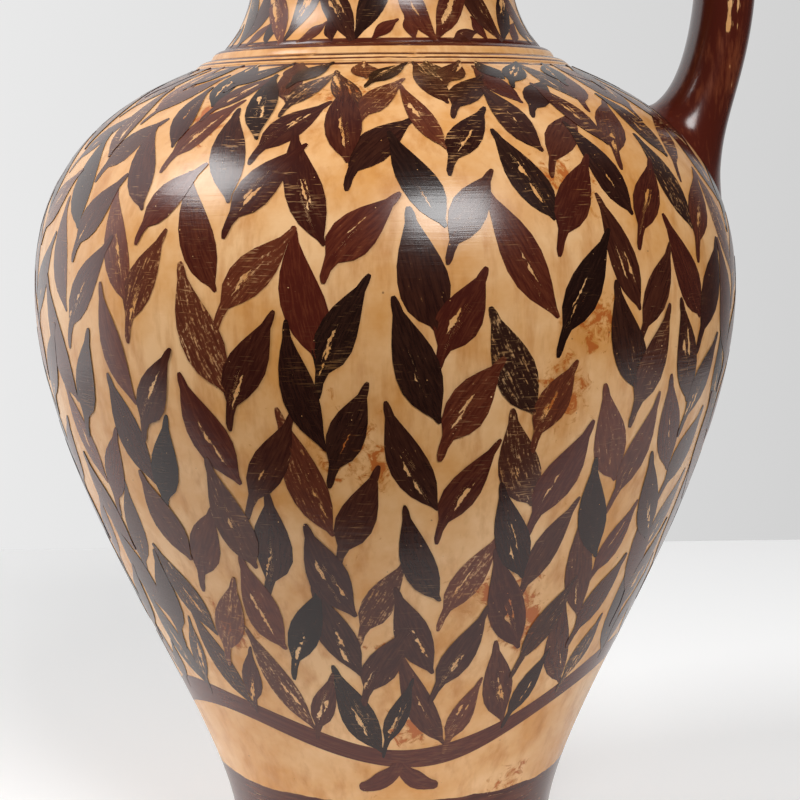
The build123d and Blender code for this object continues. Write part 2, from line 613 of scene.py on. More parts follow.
        # The slit wanders to both sides, and its one side is ragged
        shift = add(tree, "Math", [across, aside], operation="SUBTRACT")
        shift = add(tree, "Math", [slow, self.slit_wander, shift], operation="MULTIPLY_ADD")
        shift = add(tree, "Math", [shift, self.slit_wander / 2], operation="SUBTRACT")
        rough = {"Vector": at, "Scale": self.slit_rag_scale, "Detail": 3, "Roughness": 0.65}
        quick = add(tree, "TexNoise", rough)
        ragged = add(tree, "MapRange", [shift, -0.1, 0.3, *self.slit_rags])
        rag = add(tree, "Math", [quick, 0.5], operation="SUBTRACT")
        wide = add(tree, "Math", [rag, ragged, wide], operation="MULTIPLY_ADD")
        away = add(tree, "Math", [shift], operation="ABSOLUTE")
        depth = add(tree, "Math", [wide, away], operation="SUBTRACT")
        inside = add(tree, "MapRange", [depth, 0.0, self.slit_edge])
        for value, least in ((room, 0.0), (slit, self.slit_least[order])):
            present = add(tree, "Math", [value, least], operation="GREATER_THAN")
            inside = add(tree, "Math", [inside, present], operation="MULTIPLY")
        return inside


def finish_material(name: str, build: Callable[[Tree], Surface]) -> Material:
    """Makes a fired clay material from nodes for its colour, roughness and normal.

    Args:
        name: The material's name.
        build: Adds the nodes to a tree and returns the colour, the roughness and the normal.

    Returns:
        The material, with the index of refraction of a clear varnish.
    """
    material = bpy.data.materials.new(name)
    material.use_nodes = True
    tree = material.node_tree
    tree.nodes.clear()
    colour, roughness, normal = build(tree)
    shader = add(tree, "BsdfPrincipled", {"Base Color": colour, "Roughness": roughness, "Normal": normal,
                                          "IOR": VARNISH_IOR})
    add(tree, "OutputMaterial", {"Surface": shader}, out=[])
    return material


@dataclass(frozen=True)
class Finishes:
    """The jug's finishes, each made once."""

    clay: BuffClay = BuffClay()
    slip: BrushedSlip = BrushedSlip()

    def bare_clay(self) -> Material:
        """Unpainted clay of the jug's inside."""
        def build(tree: Tree) -> Surface:
            """Adds the clay's nodes alone."""
            return self.clay.colour(tree), self.clay.bare_roughness, self.clay.relief(tree)

        return finish_material("bare buff clay, thrown", build)

    def over_clay(self, tree: Tree, cover: Value, slip: Socket) -> Surface:
        """Adds the nodes that lay slip over the clay.

        Args:
            tree: The material's node tree.
            cover: 1 where slip covers the clay and 0 where it is bare.
            slip: The slip's colour.

        Returns:
            The colour, the roughness and the normal.
        """
        colour = add(tree, "Mix", {0: cover, 6: self.clay.colour(tree), 7: slip}, out=2, data_type="RGBA")
        rough = add(tree, "MapRange", [cover, 0.0, 1.0, self.clay.roughness, self.slip.roughness])
        return colour, rough, self.clay.relief(tree)

    def banded_clay(self, name: str, bands: Sequence[Band]) -> Material:
        """Clay with slip stripes at given levels.

        Args:
            name: The material's name.
            bands: The stripes.

        Returns:
            The material.
        """
        def build(tree: Tree) -> Surface:
            """Adds the clay, then each stripe by level with a wavering edge.

            Args:
                tree: The material's node tree.

            Returns:
                The colour, the roughness and the normal.
            """
            level = add(tree, "SeparateXYZ", [add(tree, "TexCoord", out="Object")], out="Z")
            waver = mottle(tree, self.slip.waver_size, 6, 0.55)
            edge = self.slip.band_edge * MM
            painted: Value = 0.0
            for band in bands:
                sway = self.slip.waver_reach * band.wobble * MM
                middle, half = (band.low + band.high) / 2 * MM + sway / 2, (band.high - band.low) / 2 * MM
                shift = add(tree, "Math", [waver, sway, level], operation="MULTIPLY_ADD")
                away = add(tree, "Math", [shift, middle], operation="SUBTRACT")
                away = add(tree, "Math", [away], operation="ABSOLUTE")
                inside = add(tree, "MapRange", [away, half - edge, half + edge, 1.0, 0.0])
                painted = add(tree, "Math", [inside, painted], operation="MAXIMUM")
            streak = mottle(tree, self.slip.band_streak, 3, stretch=self.slip.band_stretch)
            thin = add(tree, "MapRange", [streak, *self.slip.band_thin_edge, 0.0, self.slip.band_thin])
            bare = add(tree, "Math", [self.slip.pinholes(tree), self.slip.rubbed(tree)], operation="MAXIMUM")
            left = add(tree, "Math", [1.0, bare], operation="SUBTRACT")
            cover = add(tree, "Math", [painted, left], operation="MULTIPLY")
            return self.over_clay(tree, cover, self.slip.tint(tree, self.slip.band_tone, thin))

        return finish_material(name, build)

    @cached_property
    def leaf_slip(self) -> Material:
        """Slip of the brushed leaves, which reads each stroke's own shape and character."""
        def build(tree: Tree) -> Surface:
            """Adds the slip where a stroke is painted and the clay where it is bare.

            Args:
                tree: The material's node tree.

            Returns:
                The colour, the roughness and the normal.
            """
            stroke = add(tree, "Attribute", out="Vector", attribute_name="stroke")
            across, along = add(tree, "SeparateXYZ", [stroke], out=["X", "Y"])
            brush, seed = add(tree, "Attribute", out=["Color", "Alpha"], attribute_name="brush")
            tone, dry, slit = add(tree, "SeparateColor", [brush], out=[0, 1, 2])
            streak = self.slip.streaks(tree, across, along, seed)
            grain = mottle(tree, self.slip.grain_size, 3)
            patchy = add(tree, "Math", [grain, self.slip.grain_share, streak], operation="MULTIPLY_ADD")
            worn = add(tree, "Math", [dry, self.slip.dry_wear, patchy], operation="MULTIPLY_ADD")
            worn = add(tree, "MapRange", [worn, *self.slip.worn_edge, 0.0, self.slip.wear])
            rub = self.slip.rub(tree, dry)
            slits = [self.slip.bare_slit(tree, across, along, slit, seed, order) for order in range(2)]
            cover: Value = 1.0
            for bare in (*slits, worn, rub, self.slip.pinholes(tree)):
                left = add(tree, "Math", [1.0, bare], operation="SUBTRACT")
                cover = add(tree, "Math", [cover, left], operation="MULTIPLY")
            thin = add(tree, "Math", [dry, self.slip.dry_thin, streak], operation="MULTIPLY_ADD")
            thin = add(tree, "MapRange", [thin, *self.slip.thin_edge])
            return self.over_clay(tree, cover, self.slip.tint(tree, tone, thin))

        return finish_material("iron slip, brushed leaves", build)

    @cached_property
    def slip_coat(self) -> Material:
        """Slip brushed all over the handle and the foot, rubbed thin where a hand holds it."""
        def build(tree: Tree) -> Surface:
            """Adds the slip with streaks up the handle, and the clay in the worn spots.

            Args:
                tree: The material's node tree.

            Returns:
                The colour, the roughness and the normal.
            """
            streak = mottle(tree, self.slip.coat_streak, 5, 0.62, self.slip.coat_stretch)
            cloud = mottle(tree, self.slip.coat_cloud, 4)
            thin = add(tree, "Math", [cloud, self.slip.coat_cloud_share, streak], operation="MULTIPLY_ADD")
            held = nearness(tree, self.slip.thin_places, self.slip.thin_height)
            thin = add(tree, "Math", [thin, held], operation="ADD")
            share = add(tree, "MapRange", [thin, *self.slip.coat_thin_edge])
            slip = self.slip.tint(tree, 1.0, share)
            spent = nearness(tree, self.slip.worn_places, self.slip.worn_height)
            worn = add(tree, "Math", [thin, spent], operation="ADD")
            worn = add(tree, "MapRange", [worn, *self.slip.coat_worn_edge])
            colour = add(tree, "Mix", {0: worn, 6: slip, 7: self.clay.colour(tree)}, out=2, data_type="RGBA")
            rough = add(tree, "MapRange", [share, 0.0, 1.0, *self.slip.coat_roughness])
            depth = self.slip.coat_relief * MM
            return colour, rough, add(tree, "Bump", {"Height": streak, "Strength": 0.5, "Distance": depth})

        return finish_material("iron slip, brushed coat", build)


@dataclass
class BodyWall:
    """The body's outer face, from the waist on the foot to the flat seat at the throat."""

    waist_radius: float = 46.5
    radius: float = reach("body")
    waist_level: float = top("foot")
    seat_radius: float = reach("neck_ring")
    seat_level: float = top("body")
    shoulder_height: float = 62.3
    shoulder_slope: float = np.radians(27.0)
    waist_pull: float = 36.5
    lower_belly_pull: float = 58.0
    upper_belly_pull: float = 46.9
    shoulder_pull: float = 10.0
    steps: int = 400
    table: Array = field(init=False)
    climbs: Array = field(init=False)

    def __post_init__(self) -> None:
        """Works out the profile as two Bezier curves that meet upright at the widest level."""
        share = np.linspace(0, 1, self.steps)
        waist = np.array([self.waist_radius, self.waist_level])
        widest = np.array([self.radius, self.belly_level])
        seat = np.array([self.seat_radius, self.seat_level])
        lower = cubic(waist, waist + (0, self.waist_pull), widest - (0, self.lower_belly_pull), widest, share)
        towards = self.shoulder_pull * np.array([np.cos(self.shoulder_slope), -np.sin(self.shoulder_slope)])
        upper = cubic(widest, widest + (0, self.upper_belly_pull), seat + towards, seat, share)
        self.table = np.vstack([lower, upper[1:]])
        walked = np.linalg.norm(np.diff(self.table, axis=0), axis=1)
        self.climbs = np.concatenate([[0], np.cumsum(walked)])

    @property
    def belly_level(self) -> float:
        """The widest level."""
        return self.seat_level - self.shoulder_height

    @property
    def height(self) -> float:
        """Way along the profile from the waist to the seat."""
        return float(self.climbs[-1])

    def profile(self, climb: Array) -> tuple[Array, Array]:
        """Radius and level at climbs."""
        radius, level = self.table.T
        return np.interp(climb, self.climbs, radius), np.interp(climb, self.climbs, level)

    def radius_at_level(self, level: Array) -> Array:
        """Radius at levels."""
        return np.interp(level, self.table[:, 1], self.table[:, 0])

    def place(self, turn: Array, climb: Array) -> Array:
        """Points of the face: each (radius, level) of the profile turned about the axis."""
        return spun(turn, *self.profile(climb))


@dataclass
class NeckWall:
    """The neck's face, round at the collar and narrowest part, and trefoil at the lip."""

    collar_radius: float = 45.0
    narrow_radius: float = 36.7
    mouth_radius: float = 46.0
    lobe_depth: float = 8.0
    collar_level: float = top("neck_ring")
    mouth_height: float = 39.5
    lip_level: float = top("neck")

    @property
    def narrow_level(self) -> float:
        """Level of the narrowest part."""
        return self.lip_level - self.mouth_height

    def mean_radius(self, level: Array) -> Array:
        """Radius before the lobes: one round arc below the narrowest level and one above it.

        Args:
            level: Levels from the collar to the lip.

        Returns:
            One radius per level.
        """
        climb = level - self.narrow_level
        rise = np.where(climb < 0, self.narrow_level - self.collar_level, self.mouth_height)
        flare = np.where(climb < 0, self.collar_radius, self.mouth_radius) - self.narrow_radius
        bend = (rise**2 + flare**2) / (2 * flare)
        return self.narrow_radius + bend - np.sqrt(bend**2 - np.minimum(climb**2, rise**2))

    def radius(self, turn: Array, level: Array) -> Array:
        """Radius with three lobes that grow with the square of the climb, and a pinch at the handle."""
        share = np.clip((level - self.narrow_level) / self.mouth_height, 0, 1)
        return self.mean_radius(level) + self.lobe_depth * share**2 * np.sin(3 * turn)

    def profile(self, climb: Array) -> tuple[Array, Array]:
        """Mean radius and level at climbs from the collar, which are counted upright."""
        level = self.collar_level + climb
        return self.mean_radius(level), level

    def place(self, turn: Array, climb: Array) -> Array:
        """Points of the face: the radius at each turn and level, turned about the axis."""
        level = self.collar_level + climb
        return spun(turn, self.radius(turn, level), level)


Wall = BodyWall | NeckWall
body_wall = BodyWall()
neck_wall = NeckWall()


def normals(wall: Wall, turn: Array, climb: Array, step: float = 0.01) -> Array:
    """Outward normals of a wall: the cross product of a small step to the right and one upwards.

    Args:
        wall: The wall.
        turn: Angle round the axis of each point.
        climb: Way up the wall of each point.
        step: Length of the step.

    Returns:
        Three coordinates per point, of length 1.
    """
    beside = wall.place(turn + step, climb) - wall.place(turn - step, climb)
    above = wall.place(turn, climb + step) - wall.place(turn, climb - step)
    normal = np.cross(beside, above)
    return normal / np.linalg.norm(normal, axis=-1, keepdims=True)


def paint_strokes(name: str, wall: Wall, turn: Array, climb: Array, shape: Array, brush: Array) -> Piece:
    """Makes the mesh of many strokes, each a thin closed lens on a wall.

    Rows of each stroke run along it and columns across it. The top is the grid, and strips from
    both edges to a keel in the wall close it below. The normals are the wall's, because slip lies
    flush with the clay.

    Args:
        name: The piece's name.
        wall: The wall that carries the strokes.
        turn: Angle of each point, as strokes by rows by columns.
        climb: Climb of each point.
        shape: Way across, way along and lift of each point.
        brush: Tone, dryness, slit width and seed of each stroke.

    Returns:
        The new object, with its shape and brush as attributes.
    """
    keel, half = turn.shape[2], turn.shape[2] // 2
    turn, climb, shape = (
        np.concatenate([value, value[:, :, half : half + 1]], 2) for value in (turn, climb, shape)
    )
    shape[:, :, keel, 2] = -KEEL_DEPTH
    strokes, rows, width = turn.shape
    count = rows * width
    normal = normals(wall, turn, climb)
    points = wall.place(turn, climb) + normal * shape[..., 2:]
    loop = np.arange(width)
    ends = np.stack([loop[::-1], (rows - 1) * width + loop])
    start = (np.arange(strokes) * count)[:, None, None]
    quads = (start + grid_faces(rows, width)).reshape(-1, 4)
    piece = make_piece(name, points, quads.tolist() + (start + ends).reshape(-1, width).tolist())
    piece.data.normals_split_custom_set_from_vertices(normal.reshape(-1, 3).tolist())
    stroke = piece.data.attributes.new("stroke", "FLOAT_VECTOR", "POINT")
    stroke.data.foreach_set("vector", shape.astype(np.float32).ravel())
    colour = piece.data.attributes.new("brush", "FLOAT_COLOR", "POINT")
    colour.data.foreach_set("color", np.repeat(brush, count, axis=0).astype(np.float32).ravel())
    return piece


@dataclass
class LeafBrush:
    """How one leaf is brushed: a bowed stroke that swells in the middle and ends in a blunt nib."""

    rows: int = 14
    columns: int = 3
    stem: float = 0.22
    nib_start: float = 0.90
    fullness: float = 0.85
    end_power: int = 14
    least_end: float = 0.12
    waver: float = 0.28
    ripples: float = 9.0
    ripple_spacing: float = 50.0
    ripple_lag: float = 2.0
    root_power: int = 4
    lift: float = 0.04
    crown: float = 0.04

    def half_width(self, share: Array, fullest: Array, tail: Array) -> Array:
        """Half width over the largest one: a skewed sine swell between two stems with blunt ends.

        Args:
            share: Share of the way along the leaf.
            fullest: Share of the swell at which the leaf is widest.
            tail: Share of the leaf that is stem before the swell.

        Returns:
            The half width, about 1 at the widest.
        """
        way = np.clip((share - tail) / (self.nib_start - tail), 0, 1)
        swell = np.clip(np.sin(np.pi * way ** (np.log(0.5) / np.log(fullest))), 0, 1) ** self.fullness
        blunt = np.sqrt(np.clip(1 - np.abs(2 * share - 1) ** self.end_power, self.least_end, 1))
        return np.sqrt(swell**2 + (self.stem * blunt) ** 2)

    def paint(self, name: str, wall: Wall, leaves: Leaves) -> Piece:
        """Makes the mesh of many leaves.

        The middle line is walked from the base in short steps. Its angle is the lean with an even
        bend, and a rooted leaf leaves its stem upright. The width stands square to the line, and
        rows lie closer together at both ends.

        Args:
            name: The piece's name.
            wall: The wall that carries the leaves.
            leaves: One array per quality, with one value per leaf.

        Returns:
            The new object.
        """
        leaf = {key: value[:, None, None] for key, value in leaves.items()}
        length = leaf["length"]
        share = (0.5 - 0.5 * np.cos(np.linspace(0, np.pi, self.rows)))[None, :, None]
        side = np.linspace(-1, 1, self.columns)[None, None, :]
        half = leaf["width"] / 2 * self.half_width(share, leaf["fullest"], leaf["tail"])
        phase = self.ripples * share + self.ripple_spacing * leaf["seed"] + self.ripple_lag * side
        ripple = self.waver / leaf["width"] * np.sin(phase)
        across = side * half * (1 + leaf["skew"] * side * (0.5 - share) + ripple)
        rooted = 1 - leaf["root"] * (1 - share) ** self.root_power
        angle = leaf["lean"] * rooted + leaf["bend"] * (share - 0.5)
        between = (angle[:, 1:] + angle[:, :-1]) / 2
        steps = length * np.diff(share, axis=1) * np.stack([np.sin(between), np.cos(between)])
        walked = np.concatenate([0 * steps[:, :, :1], np.cumsum(steps, axis=2)], axis=2)
        climb = leaf["climb"] + walked[1] - across * np.sin(angle)
        turn = leaf["turn"] + (walked[0] + across * np.cos(angle)) / wall.profile(climb)[0]
        lift = self.lift * (1 + leaf["layer"]) + self.crown * (1 - side**2) * np.minimum(half, 1)
        shape = np.stack(np.broadcast_arrays(across, share * length, lift), -1)
        brush = np.stack([leaves[key] for key in ("tone", "dry", "slit", "seed")], -1)
        return paint_strokes(name, wall, turn, climb, shape, brush)


@dataclass
class LeafColumns:
    """The body's leaves: columns of V-shaped pairs, each of which rises out of the pair below it.

    A field that ends in waver is the spread of the hand's unevenness. A pair of values is the left
    and the right leaf's, or the least and the largest one.
    """

    columns: int = 23
    first_turn: float = np.radians(7.5)
    column_waver: float = 0.03
    turn_waver: float = 0.012
    drift: float = np.radians(6.0)
    drift_middle: float = 150.0
    drift_reach: float = 100.0
    climbs: tuple[float, ...] = (49, 75, 99, 123, 147, 171, 194, 214, 231, 243)
    column_shift: float = 4.0
    climb_waver: float = 1.0
    lowest: float = 46.5
    pitch: float = 24.0
    length: float = 32.0
    length_power: float = 0.55
    length_waver: float = 0.07
    width: float = 10.0
    width_power: float = 0.4
    width_waver: float = 0.08
    widest_climb: float = 12.0
    left_lean: float = np.radians(-20.0)
    left_waver: float = 0.08
    top_lean: float = np.radians(11.0)
    top_start: float = 190.0
    top_reach: float = 40.0
    top_slim: float = 0.15
    # Painted shade and thicker slip: the top rows' tone is pulled towards black, partly for thicker slip and
    # partly as painted shade against the light from above.
    top_dark_slip_and_shade: float = 0.25
    right_lean: float = np.radians(36.0)
    right_waver: float = 0.09
    lean_rise: float = np.radians(0.13)
    last_lean: float = np.radians(-14.0)
    last_start: float = 212.0
    last_reach: float = 20.0
    right_drop: float = 10.0
    upright_share: float = 0.32
    seat_gap: float = 0.8
    least_room: float = 11.0
    cut_slim: float = 0.03
    bends: tuple[float, float] = (0.26, -0.2)
    bend_waver: float = 0.14
    tails: tuple[float, float] = (0.07, 0.2)
    fullest: tuple[float, float] = (0.37, 0.47)
    skew_waver: float = 0.3
    layers: int = 5
    tone: float = 0.5
    tone_waver: float = 0.32
    dry_share: float = 0.22
    dry: tuple[float, float] = (0.55, 0.95)
    wet: tuple[float, float] = (0.05, 0.5)
    slit_share: float = 0.75
    slits: tuple[float, float] = (0.2, 0.55)

    def lay_out(self, wall: BodyWall, ground: Callable[[Array], Array], rng: Rng) -> Leaves:
        """Places the pairs of every column between the ground line and the seat.

        The rows are squeezed upwards where the ground line stands higher. Columns drift to the right
        by the square of the climb from their middle, and each one's rows are shifted most halfway up.
        A leaf's size follows the distance between its row and the next ones, and a leaf that would
        start below the ground line is cut short there.

        Args:
            wall: The body's face.
            ground: Climb of the ground line at a turn.
            rng: Source of the hand's unevenness.

        Returns:
            One array per quality, with one value per leaf.
        """
        side = np.array([side.value for side in Side])
        shape = (self.columns, len(self.climbs), len(side))
        right = np.broadcast_to(side > 0, shape).ravel()
        size = np.gradient(np.array(self.climbs)) / self.pitch
        size = np.broadcast_to(size[:, None], shape).ravel()
        column = np.arange(self.columns) + rng.normal(0, self.column_waver, self.columns)
        turn = self.first_turn + 2 * np.pi * column[:, None] / self.columns
        halfway = np.sin(np.linspace(0, np.pi, len(self.climbs)))
        shift = halfway * rng.normal(0, self.column_shift, self.columns)[:, None]
        climb = np.array(self.climbs) + (shift + rng.normal(0, self.climb_waver, shape[:2]))
        bow = ((climb - self.drift_middle) / self.drift_reach) ** 2
        turn = turn + self.drift * bow + rng.normal(0, self.turn_waver, shape[:2])
        low = ground(turn)
        squeeze = (wall.height - low) / (wall.height - self.lowest)
        climb = wall.height - (wall.height - climb) * squeeze
        climb, turn, low = (np.repeat(value, len(side), axis=1).ravel() for value in (climb, turn, low))
        climb = climb - np.where(right, self.right_drop * size, 0)
        cut = np.maximum(low - climb, 0)
        climb = climb + cut
        count = len(turn)
        high = np.clip((climb - self.top_start) / self.top_reach, 0, 1)
        last = np.clip((climb - self.last_start) / self.last_reach, 0, 1)
        left_lean = rng.normal(self.left_lean, self.left_waver, count) + self.top_lean * high
        lean = rng.normal(self.right_lean, self.right_waver, count)
        lean = lean + self.lean_rise * (climb - self.drift_middle) + self.last_lean * last
        lean = np.where(right, lean, left_lean)
        upright = np.where(right, self.upright_share, 0)
        room = (wall.height - self.seat_gap - climb) / (upright + (1 - upright) * np.cos(lean))
        slim = (wall.profile(climb + self.widest_climb)[0] / wall.radius) ** self.width_power
        slim = slim * (1 - self.top_slim * high) * (1 - self.cut_slim * cut)
        length = self.length * size**self.length_power * rng.normal(1, self.length_waver, count) - cut
        leaves = {
            "turn": turn,
            "climb": climb,
            "lean": lean,
            "length": np.minimum(length, room),
            "bend": np.where(right, *self.bends[::-1]) + rng.normal(0, self.bend_waver, count),
            "root": np.where(right, 1.0, 0.0),
            "tail": np.where(right, *self.tails[::-1]),
            "width": self.width * slim * rng.normal(1, self.width_waver, count),
            "fullest": rng.uniform(*self.fullest, count),
            "skew": rng.normal(0, self.skew_waver, count),
            "layer": 1.0 + np.arange(count) % self.layers,
            # Random tone, less the top rows' darkening, which is partly thicker slip and partly painted
            # shade.
            "tone": np.clip(rng.normal(self.tone, self.tone_waver, count) - self.top_dark_slip_and_shade * high, 0, 1),
            "dry": np.where(rng.random(count) < self.dry_share, rng.uniform(*self.dry, count),
                            rng.uniform(*self.wet, count)),
            "slit": np.where(rng.random(count) < self.slit_share, rng.uniform(*self.slits, count), 0),
            "seed": rng.random(count),
        }
        return {key: value[room > self.least_room] for key, value in leaves.items()}


@dataclass
class NeckSprays:
    """The neck's leaves: sprays of pairs that rise from the line at its base.

    Its fields are named as those of the body's columns, but tones and dry shape a beta spread. A
    sprout has its turn from the spray, its length, its width and its lean.
    """

    sprays: int = 13
    first_turn: float = np.radians(-9.0)
    turn_waver: float = 0.06
    pitch: float = 16.0
    pairs: int = 3
    length: float = 23.0
    length_waver: float = 0.05
    width: float = 6.8
    width_waver: float = 0.08
    lean: float = 0.47
    lean_waver: float = 0.07
    base: float = -0.6
    right_rise: float = 1.5
    sprout_rise: float = 1.0
    sprout_waver: float = 0.15
    bend_waver: float = 0.2
    tail: float = 0.08
    fullest: tuple[float, float] = (0.44, 0.54)
    skew_waver: float = 0.2
    layers: int = 5
    tones: tuple[float, float] = (1.1, 1.1)
    dry: tuple[float, float] = (1.1, 2.2)
    slit_share: float = 0.6
    slit_length: float = 12.0
    slits: tuple[float, float] = (0.25, 0.8)
    sprouts: dict[Side, tuple[float, ...]] = field(default_factory=lambda: {
        Side.LEFT: (-0.14, 7.0, 3.8, -0.3), Side.RIGHT: (0.1, 9.0, 3.4, 0.95)})

    def lay_out(self, rng: Rng) -> Leaves:
        """Places the pairs of every spray, with two sprouts at its base.

        Args:
            rng: Source of the hand's unevenness.

        Returns:
            One array per quality, with one value per leaf.
        """
        rows: list[tuple[float, ...]] = []
        for number in range(self.sprays):
            turn = self.first_turn + 2 * np.pi * (number + rng.normal(0, self.turn_waver)) / self.sprays
            for side in Side:
                beside, length, width, lean = self.sprouts[side]
                lean = lean * rng.normal(1, self.sprout_waver)
                rows.append((turn + beside, self.base + self.sprout_rise, length, width, lean))
                for pair in range(self.pairs):
                    climb = self.base + pair * self.pitch + (self.right_rise if side is Side.RIGHT else 0)
                    lean = side.value * rng.normal(self.lean, self.lean_waver)
                    length = self.length * rng.normal(1, self.length_waver)
                    width = self.width * rng.normal(1, self.width_waver)
                    rows.append((turn, climb, length, width, lean))
        turn, climb, length, width, lean = np.array(rows).T
        count = len(turn)
        return {
            "turn": turn,
            "climb": climb,
            "length": length,
            "width": width,
            "lean": lean,
            "bend": rng.normal(0, self.bend_waver, count),
            "fullest": rng.uniform(*self.fullest, count),
            "root": np.zeros(count),
            "tail": np.full(count, self.tail),
            "skew": rng.normal(0, self.skew_waver, count),
            "layer": 1 + np.arange(count) % self.layers,
            "tone": rng.beta(*self.tones, count),
            "dry": rng.beta(*self.dry, count),
            "slit": np.where((rng.random(count) < self.slit_share) & (length > self.slit_length),
                             rng.uniform(*self.slits, count), 0),
            "seed": rng.random(count),
        }


@dataclass
class GroundLine:
    """The wavy line that the body's leaves grow from, with a tuft below each of its troughs."""

    height: float = 50.3
    wave: float = 9.6
    waves: int = 3
    trough: float = np.radians(8.0)
    tilt: float = 4.7
    width: float = 7.0
    swell: float = 0.07
    swell_waves: tuple[int, ...] = (2, 3, 5, 9)
    lift: float = 0.03
    crown: float = 0.06
    rows: int = 361
    columns: int = 5
    brush: tuple[float, ...] = (1.0, 0.2, 0.0, 0.37)
    tuft_turn: float = np.radians(-6.0)
    tuft_drop: float = 1.5
    tuft: dict[str, float] = field(default_factory=lambda: {
        "length": 14.5, "width": 4.6, "root": 0.0, "tail": 0.08, "fullest": 0.55, "skew": 0.0, "tone": 1.0,
        "dry": 0.15, "slit": 0.0})
    tuft_lean: float = 2.25
    tuft_bend: float = -1.1

    def climb(self, turn: Array) -> Array:
        """Climb of the line: a tilted ring with a cosine wave."""
        return self.height - self.wave * np.cos(self.waves * (turn - self.trough)) + self.tilt * np.sin(turn)

    def build(self, wall: BodyWall, rng: Rng) -> Piece:
        """Makes the line as one closed band whose width swells and thins by a sum of sines.

        Args:
            wall: The body's face.
            rng: Source of the hand's unevenness.

        Returns:
            The new object.
        """
        turn = np.linspace(0, 2 * np.pi, self.rows)[:, None]
        side = np.linspace(-1, 1, self.columns)
        phases = rng.uniform(0, 2 * np.pi, len(self.swell_waves))
        swell = sum(np.sin(wave * turn + phase) for wave, phase in zip(self.swell_waves, phases))
        across = side * self.width / 2 * (1 + self.swell * swell)
        middle = self.climb(turn)
        along = turn * wall.profile(middle)[0]
        lift = self.lift + self.crown * (1 - side**2)
        turns, *shape = np.broadcast_arrays(turn, across, along, lift)
        stroke, brush = np.stack(shape, -1)[None], np.array([self.brush])
        return paint_strokes("ground_line", wall, turns[None], (middle - across)[None], stroke, brush)

    def hang_tufts(self, rng: Rng) -> Leaves:
        """Places two thick strokes that hang apart below each trough.

        Args:
            rng: Source of the strokes' own numbers.

        Returns:
            One array per quality, with one value per stroke.
        """
        middle = self.trough + self.tuft_turn + circle(self.waves)
        side = np.array([side.value for side in Side])
        turn, side = (value.ravel() for value in np.broadcast_arrays(middle[:, None], side))
        strokes = {key: np.full(len(turn), value) for key, value in self.tuft.items()}
        return strokes | {
            "turn": turn,
            "climb": self.climb(turn) - self.tuft_drop,
            "lean": self.tuft_lean * side,
            "bend": self.tuft_bend * side,
            "layer": 1.5 - 0.5 * side,
            "seed": rng.random(len(turn)),
        }


@dataclass
class Body:
    """The thrown shell with its floor and its painted leaves."""

    finishes: Finishes
    wall: BodyWall
    thickness: float = 6.5
    throat_radius: float = 40.0
    throat_edge: float = 0.6
    floor_ring: float = 12.0
    columns: int = 288
    rows: int = 150
    inner_step: int = 3
    foot_band: Band = Band(-5.0, 37.0, 0.9)
    seam_band: Band = Band(-0.95, -0.35, 0.06)
    tuft_stem: float = 0.75

    def build(self) -> None:
        """Makes the shell: the outer profile, the seat, then the profile drawn in by its thickness."""
        outer = np.stack(self.wall.profile(np.linspace(0, self.wall.height, self.rows)), -1)
        along = np.gradient(outer, axis=0)
        inwards = np.stack([-along[:, 1], along[:, 0]], -1) / np.linalg.norm(along, axis=1, keepdims=True)
        inner = (outer + self.thickness * inwards)[:: -self.inner_step]
        seat, floor = self.wall.seat_level, self.wall.waist_level + self.thickness
        inner[:, 1] = np.maximum(inner[:, 1], floor)
        throat = [[self.throat_radius, seat], [self.throat_radius, seat - self.throat_edge]]
        profile = np.vstack([outer, throat, inner, [[self.floor_ring, floor]]])
        piece = revolved("body_shell", profile, self.columns, False)
        bands = [self.foot_band, self.seam_band.above(seat)]
        painted_clay = self.finishes.banded_clay("buff clay, burnished body", bands)
        dress(piece, Slot.PAINTED_CLAY, painted_clay, self.finishes.bare_clay())
        inside = np.arange(len(piece.data.polygons)) >= (self.rows - 1) * self.columns
        piece.data.polygons.foreach_set("material_index", inside.astype(np.int32))
        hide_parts("body")

    def paint(self, rng: Rng) -> None:
        """Paints the ground line, its tuft and the columns of leaves.

        Args:
            rng: Source of the hand's unevenness.
        """
        ground = GroundLine()
        leaves = LeafColumns().lay_out(self.wall, ground.climb, rng)
        pieces = [
            ground.build(self.wall, rng),
            LeafBrush(stem=self.tuft_stem).paint("ground_tuft", self.wall, ground.hang_tufts(rng)),
            LeafBrush().paint("body_leaves", self.wall, leaves),
        ]
        for piece in pieces:
            dress(piece, Slot.SLIP_COAT, self.finishes.leaf_slip)


